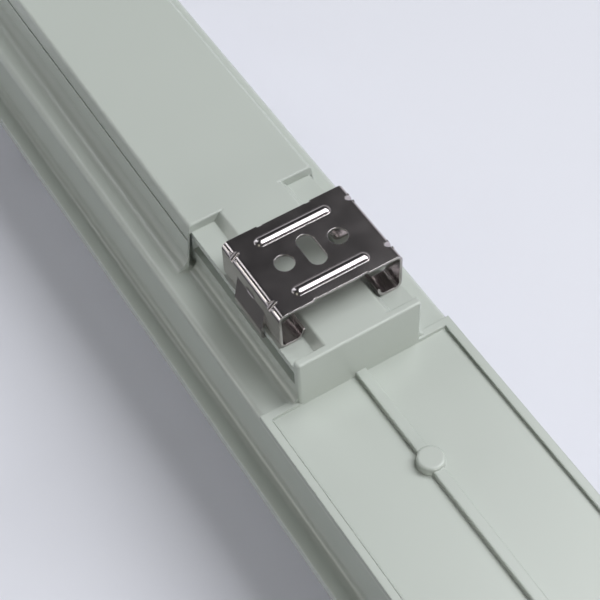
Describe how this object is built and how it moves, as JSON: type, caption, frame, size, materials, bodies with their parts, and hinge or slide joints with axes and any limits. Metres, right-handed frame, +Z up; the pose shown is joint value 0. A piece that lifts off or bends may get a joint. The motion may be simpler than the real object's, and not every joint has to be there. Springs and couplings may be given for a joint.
{
  "type": "waterproof led tube fitting",
  "caption": "Sealed batten for a straight lamp tube: ribbed moulded back with clip seats, opal diffuser, steel latches, sliding ceiling clips and a cable gland.",
  "frame": {"origin": "middle of the diffuser's flat face, on the surface it lies on", "axes": "+X along the tube towards the cable gland, +Z up to the moulded back and its clips"},
  "size_m": [0.7241, 0.0896, 0.0873],
  "materials": {
    "housing_plastic": "fine moulded satin, pale grey green",
    "opal_plastic": "opal, smooth",
    "gasket_foam": "foamed seal",
    "white_steel": "white powder coat",
    "zinc_steel": "zinc plated",
    "stainless_steel": "polished stainless",
    "white_plastic": "moulded white",
    "wire_insulation": "insulated lead",
    "tube_opal": "frosted",
    "tube_aluminium": "extruded, satin",
    "board_white": "white board",
    "cap_plastic": "moulded white",
    "contact_metal": "plated",
    "gland_plastic": "moulded grey",
    "seal_rubber": "black rubber"
  },
  "bodies": {
    "fitting": {"housing": "housing_plastic", "housing_gasket": "gasket_foam", "diffuser": "opal_plastic", "gear_tray": "white_steel", "tray_screws": "zinc_steel", "terminal_block": "white_plastic", "terminal_screws": "zinc_steel", "lamp_wires": "wire_insulation", "gland_body": "gland_plastic", "gland_seal": "seal_rubber", "gland_nut": "gland_plastic", "gland_washer": "seal_rubber", "gland_locknut": "gland_plastic", "plug_body": "gland_plastic", "plug_washer": "seal_rubber", "plug_locknut": "gland_plastic", "lampholder_body_1": "white_plastic", "lampholder_contacts_1": "contact_metal", "lampholder_body_2": "white_plastic", "lampholder_contacts_2": "contact_metal", "latch_pins": "stainless_steel"},
    "lamp": {"tube_cover": "tube_opal", "tube_back": "tube_aluminium", "led_board": "board_white", "tube_end_cap_1": "cap_plastic", "tube_end_cap_2": "cap_plastic", "tube_pins_1": "contact_metal", "tube_pins_2": "contact_metal", "lampholder_rotor_1": "white_plastic", "lampholder_rotor_2": "white_plastic"},
    "clip_1": {"mounting_clip_1": "stainless_steel"},
    "clip_2": {"mounting_clip_2": "stainless_steel"},
    "latch_1": {"latch_1": "stainless_steel"},
    "latch_2": {"latch_2": "stainless_steel"},
    "latch_3": {"latch_3": "stainless_steel"},
    "latch_4": {"latch_4": "stainless_steel"},
    "latch_5": {"latch_5": "stainless_steel"},
    "latch_6": {"latch_6": "stainless_steel"}
  },
  "joints": [
    {"name": "lamp_turn", "type": "hinge", "parent": "fitting", "child": "lamp", "pos_m": [0, 0, 0.019], "axis": [1, 0, 0], "range_deg": [-90, 0]},
    {"name": "clip_slide_1", "type": "slide", "parent": "fitting", "child": "clip_1", "axis": [1, 0, 0], "range_m": [-0.0174, 0.0066]},
    {"name": "clip_slide_2", "type": "slide", "parent": "fitting", "child": "clip_2", "axis": [-1, 0, 0], "range_m": [-0.0174, 0.0066]},
    {"name": "latch_hinge_1", "type": "hinge", "parent": "fitting", "child": "latch_1", "pos_m": [-0.3297, 0.0382, 0.0376], "axis": [1, 0, 0], "range_deg": [0, 100]},
    {"name": "latch_hinge_2", "type": "hinge", "parent": "fitting", "child": "latch_2", "pos_m": [0, 0.0382, 0.0376], "axis": [1, 0, 0], "range_deg": [0, 100]},
    {"name": "latch_hinge_3", "type": "hinge", "parent": "fitting", "child": "latch_3", "pos_m": [0.3297, 0.0382, 0.0376], "axis": [1, 0, 0], "range_deg": [0, 100]},
    {"name": "latch_hinge_4", "type": "hinge", "parent": "fitting", "child": "latch_4", "pos_m": [-0.3297, -0.0382, 0.0376], "axis": [-1, 0, 0], "range_deg": [0, 100]},
    {"name": "latch_hinge_5", "type": "hinge", "parent": "fitting", "child": "latch_5", "pos_m": [0, -0.0382, 0.0376], "axis": [-1, 0, 0], "range_deg": [0, 100]},
    {"name": "latch_hinge_6", "type": "hinge", "parent": "fitting", "child": "latch_6", "pos_m": [0.3297, -0.0382, 0.0376], "axis": [-1, 0, 0], "range_deg": [0, 100]}
  ]
}
